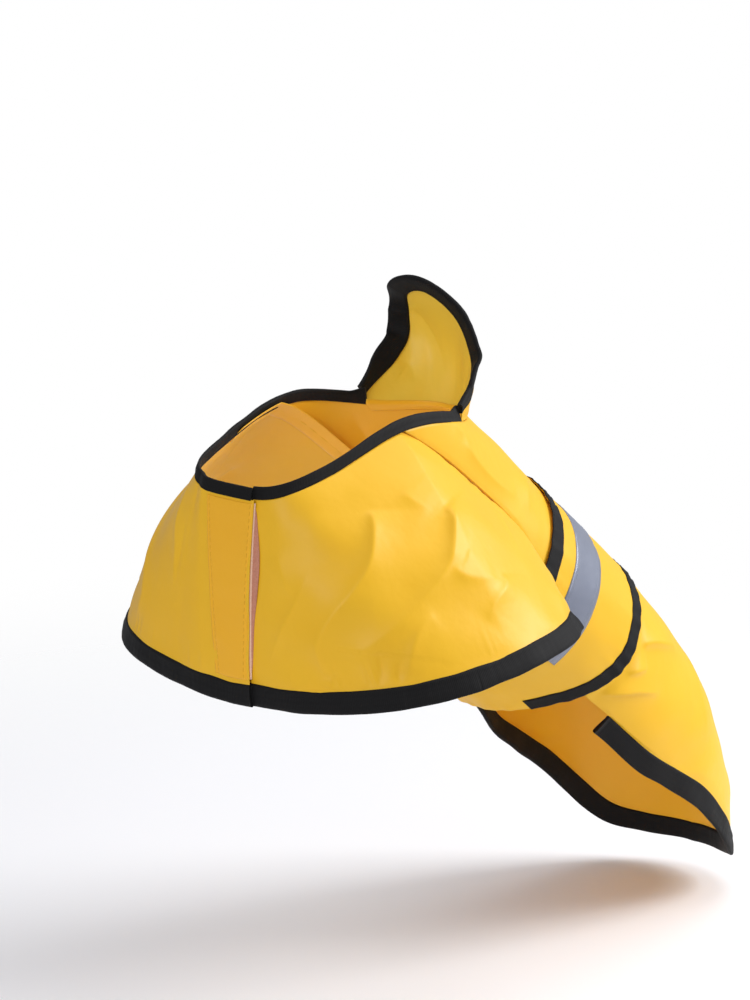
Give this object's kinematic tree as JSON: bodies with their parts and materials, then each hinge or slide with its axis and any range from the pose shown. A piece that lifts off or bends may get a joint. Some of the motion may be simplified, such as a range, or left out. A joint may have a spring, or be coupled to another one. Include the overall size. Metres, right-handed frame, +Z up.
{
  "type": "dog raincoat",
  "caption": "Hooded cape-style raincoat for a small dog, worn and hollow, with bound edges, a girth belt with a reflective strip and a rounded tail flap.",
  "frame": {"origin": "the nape, at the middle of the back of the neck ring, where the coat rests on the wearer", "axes": "+Z up, +X to the wearer's left, -Y the way the wearer faces"},
  "size_m": [0.2346, 0.3849, 0.3543],
  "materials": {
    "coated_cloth": "yellow waterproof coated polyester with a satin sheen",
    "black_tape": "matt black woven binding tape",
    "reflective_tape": "silver grey reflective tape",
    "fastening_tape": "pale salmon hook and loop tape"
  },
  "bodies": {
    "root": {"back_panel": "coated_cloth", "tail_binding": "black_tape", "cape_left": "coated_cloth", "cape_right": "coated_cloth", "hem_binding_left": "black_tape", "hem_binding_right": "black_tape", "placket": "coated_cloth", "fastening_strip": "fastening_tape", "belt": "coated_cloth", "reflective_strip": "reflective_tape", "band_front": "black_tape", "band_rear": "black_tape", "belt_closure": "black_tape", "hood": "coated_cloth", "hood_binding": "black_tape", "neck_binding_left": "black_tape", "neck_binding_right": "black_tape"}
  },
  "joints": []
}
